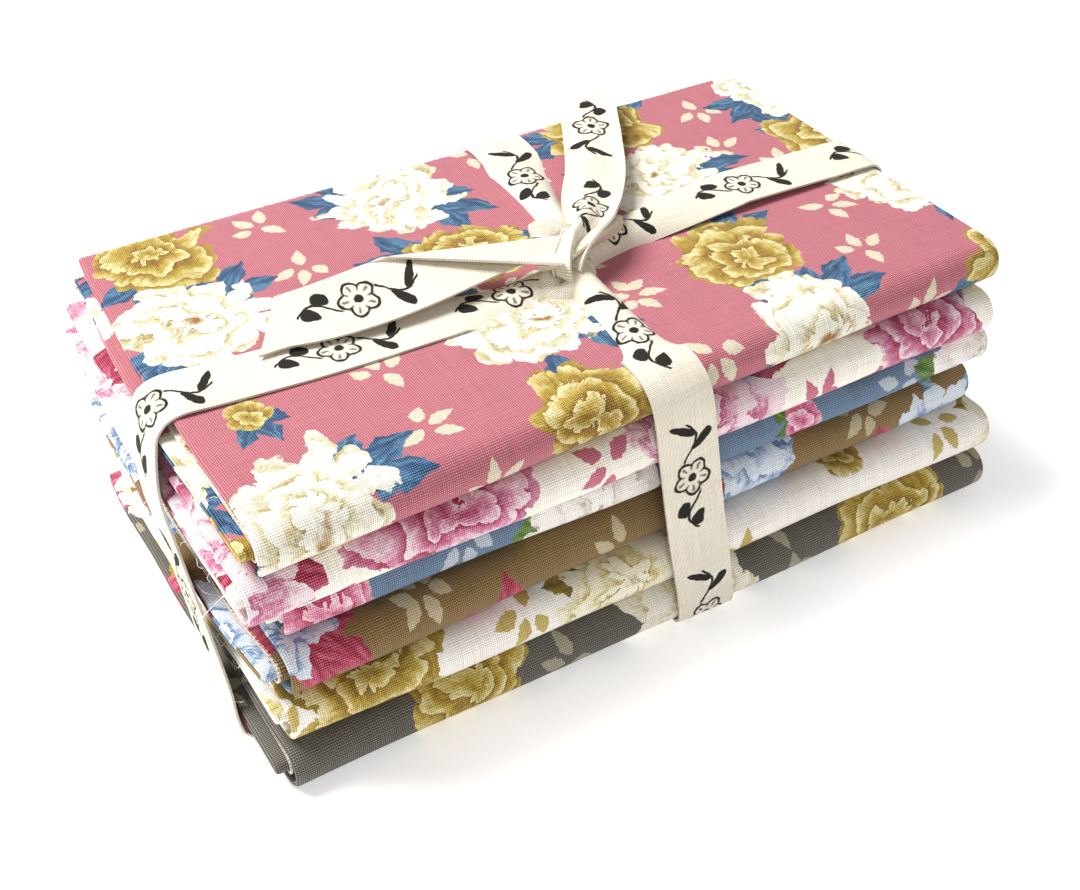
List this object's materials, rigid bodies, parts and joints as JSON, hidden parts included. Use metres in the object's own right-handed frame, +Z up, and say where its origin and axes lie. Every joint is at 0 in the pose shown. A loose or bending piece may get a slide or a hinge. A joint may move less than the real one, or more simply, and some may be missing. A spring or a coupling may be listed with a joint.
{
  "type": "fat quarter bundle",
  "caption": "Stack of folded fat quarters of floral cotton, tied both ways with flat cotton tape, knotted on top with free tails.",
  "frame": {"origin": "on the surface that the bundle lies on, under the middle of the folded stack", "axes": "+X along the folded noses to the right, +Y from the noses to the free ends at the back, +Z up"},
  "size_m": [0.203, 0.1301, 0.0794],
  "materials": {
    "cotton_grey": "matt plain weave cotton, grey with mustard and pink flowers",
    "cotton_white": "matt plain weave cotton, off-white with mustard flowers and leaves",
    "cotton_tan": "matt plain weave cotton, tan with blue flowers and crimson leaves",
    "cotton_blue": "matt plain weave cotton, dusty blue with pink roses and green leaves",
    "cotton_cream": "matt plain weave cotton, cream with pink and magenta roses",
    "cotton_pink": "matt plain weave cotton, dusty pink with white and mustard flowers and blue leaves",
    "cotton_tape": "matt herringbone cotton tape, natural cream"
  },
  "bodies": {
    "root": {"packet_1_grey": "cotton_grey", "packet_2_white": "cotton_white", "packet_3_tan": "cotton_tan", "packet_4_blue": "cotton_blue", "packet_5_cream": "cotton_cream", "packet_6_pink": "cotton_pink", "tape": "cotton_tape"}
  },
  "joints": []
}
